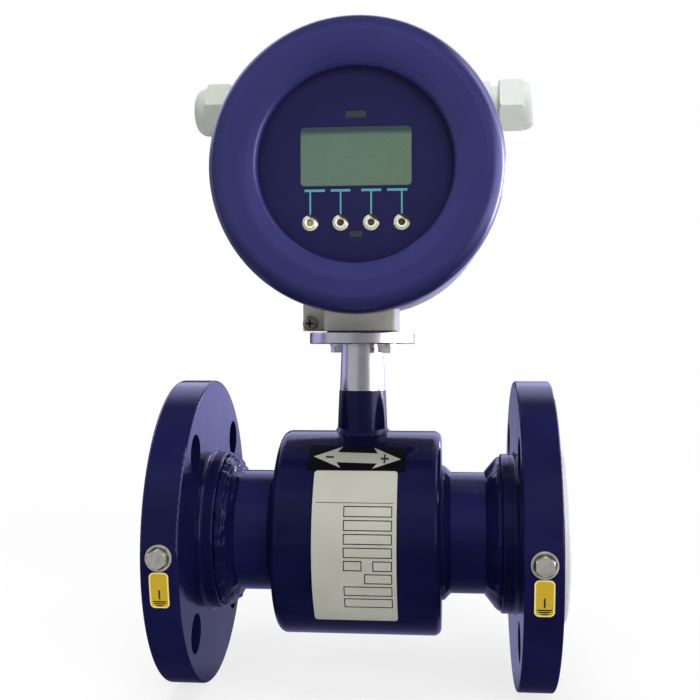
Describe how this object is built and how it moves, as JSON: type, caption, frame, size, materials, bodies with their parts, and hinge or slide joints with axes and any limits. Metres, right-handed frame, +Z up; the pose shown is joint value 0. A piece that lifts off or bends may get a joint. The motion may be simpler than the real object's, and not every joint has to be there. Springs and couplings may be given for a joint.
{
  "type": "electromagnetic flow meter",
  "caption": "Flanged in-line electromagnetic flow meter with a lined bore, round coil casing, short neck, and a round display head with keys and side cable glands.",
  "frame": {"origin": "where the pipe's axis crosses the neck's axis, in the middle of the flow bore", "axes": "+X along the pipe from inlet to outlet, +Z up the neck, and the display faces -Y"},
  "size_m": [0.2, 0.1566, 0.3263],
  "materials": {
    "body_paint": "glossy enamel",
    "ring_paint": "painted die casting, satin gloss",
    "housing_paint": "painted die casting, satin",
    "stainless": "turned",
    "liner_white": "PTFE",
    "core_steel": "electrical steel",
    "bobbin_plastic": "moulded",
    "winding": "enamelled copper wire",
    "lead_sheath": "sheathed leads",
    "seal_rubber": "moulded",
    "plate_silver": "printed plate",
    "plate_black": "printed plate",
    "tag_yellow": "printed film",
    "panel_blue": "printed film",
    "display_window": "clear",
    "small_window": "tinted",
    "display_grey": "liquid crystal panel",
    "board_green": "glass fibre board",
    "switch_black": "moulded",
    "nickel": "nickel plated",
    "terminal_green": "moulded",
    "gland_plastic": "moulded polyamide"
  },
  "bodies": {
    "meter": {"measuring_tube": "body_paint", "tube_liner": "liner_white", "inlet_flange": "body_paint", "outlet_flange": "body_paint", "hub_welds": "body_paint", "casing_shell": "body_paint", "casing_end_left": "body_paint", "casing_end_right": "body_paint", "casing_welds": "body_paint", "neck_tube": "stainless", "neck_weld": "body_paint", "neck_flange": "stainless", "neck_gasket": "seal_rubber", "neck_bolts": "stainless", "neck_washers": "stainless", "earth_bolts": "stainless", "earth_washers": "stainless", "earth_tags": "tag_yellow", "rating_plate": "plate_silver", "flow_arrow_plate": "plate_black", "pole_core_top": "core_steel", "pole_core_bottom": "core_steel", "bobbin_top": "bobbin_plastic", "bobbin_bottom": "bobbin_plastic", "coil_top": "winding", "coil_bottom": "winding", "return_yoke": "core_steel", "electrode_front": "stainless", "electrode_rear": "stainless", "electrode_bushes": "liner_white", "electrode_washers": "stainless", "electrode_nuts": "stainless", "lead_bundle": "lead_sheath", "lead_plug": "bobbin_plastic", "housing": "housing_paint", "ear_screw": "stainless", "front_panel": "panel_blue", "display_lens": "display_window", "window_lenses": "small_window", "display_module": "display_grey", "display_board": "board_green", "main_board": "board_green", "board_pillars": "stainless", "key_bezels": "nickel", "key_switches": "switch_black", "terminal_block": "terminal_green", "gland_body_left": "gland_plastic", "gland_body_right": "gland_plastic"},
    "ring_seal_body": {"ring_seal": "seal_rubber"},
    "front_ring": {"front_ring": "ring_paint"},
    "rear_seal_body": {"rear_seal": "seal_rubber"},
    "rear_cover": {"rear_cover": "housing_paint"},
    "gland_seal_left": {"gland_seal_left": "seal_rubber"},
    "gland_nut_left": {"gland_nut_left": "gland_plastic"},
    "gland_seal_right": {"gland_seal_right": "seal_rubber"},
    "gland_nut_right": {"gland_nut_right": "gland_plastic"},
    "key_1": {"key_1": "nickel"},
    "key_2": {"key_2": "nickel"},
    "key_3": {"key_3": "nickel"},
    "key_4": {"key_4": "nickel"}
  },
  "joints": [
    {"name": "front_ring_advance", "type": "slide", "parent": "meter", "child": "ring_seal_body", "axis": [0, -1, 0], "range_m": [0, 0.008]},
    {"name": "front_ring_turn", "type": "hinge", "parent": "ring_seal_body", "child": "front_ring", "pos_m": [0, 0, 0.1797], "axis": [0, -1, 0], "range_deg": [0, 1440]},
    {"name": "rear_cover_advance", "type": "slide", "parent": "meter", "child": "rear_seal_body", "axis": [0, 1, 0], "range_m": [0, 0.008]},
    {"name": "rear_cover_turn", "type": "hinge", "parent": "rear_seal_body", "child": "rear_cover", "pos_m": [0, 0, 0.1797], "axis": [0, 1, 0], "range_deg": [0, 1440]},
    {"name": "gland_left_advance", "type": "slide", "parent": "meter", "child": "gland_seal_left", "axis": [-1, 0, 0], "range_m": [-0.003, 0.006]},
    {"name": "gland_left_turn", "type": "hinge", "parent": "gland_seal_left", "child": "gland_nut_left", "pos_m": [-0.08, 0.012, 0.2169], "axis": [-1, 0, 0], "range_deg": [-720, 1440]},
    {"name": "gland_right_advance", "type": "slide", "parent": "meter", "child": "gland_seal_right", "axis": [1, 0, 0], "range_m": [-0.003, 0.006]},
    {"name": "gland_right_turn", "type": "hinge", "parent": "gland_seal_right", "child": "gland_nut_right", "pos_m": [0.08, 0.012, 0.2169], "axis": [1, 0, 0], "range_deg": [-720, 1440]},
    {"name": "key_1_press", "type": "slide", "parent": "meter", "child": "key_1", "axis": [0, 1, 0], "range_m": [0, 0.0012], "stiffness_N_per_m": 600, "springref_m": -0.0005},
    {"name": "key_2_press", "type": "slide", "parent": "meter", "child": "key_2", "axis": [0, 1, 0], "range_m": [0, 0.0012], "stiffness_N_per_m": 600, "springref_m": -0.0005},
    {"name": "key_3_press", "type": "slide", "parent": "meter", "child": "key_3", "axis": [0, 1, 0], "range_m": [0, 0.0012], "stiffness_N_per_m": 600, "springref_m": -0.0005},
    {"name": "key_4_press", "type": "slide", "parent": "meter", "child": "key_4", "axis": [0, 1, 0], "range_m": [0, 0.0012], "stiffness_N_per_m": 600, "springref_m": -0.0005}
  ],
  "couplings": [
    {"joint": "front_ring_advance", "follows": "front_ring_turn", "m_per_rad": 0.0003183},
    {"joint": "rear_cover_advance", "follows": "rear_cover_turn", "m_per_rad": 0.0003183},
    {"joint": "gland_left_advance", "follows": "gland_left_turn", "m_per_rad": 0.0002387},
    {"joint": "gland_right_advance", "follows": "gland_right_turn", "m_per_rad": 0.0002387}
  ]
}
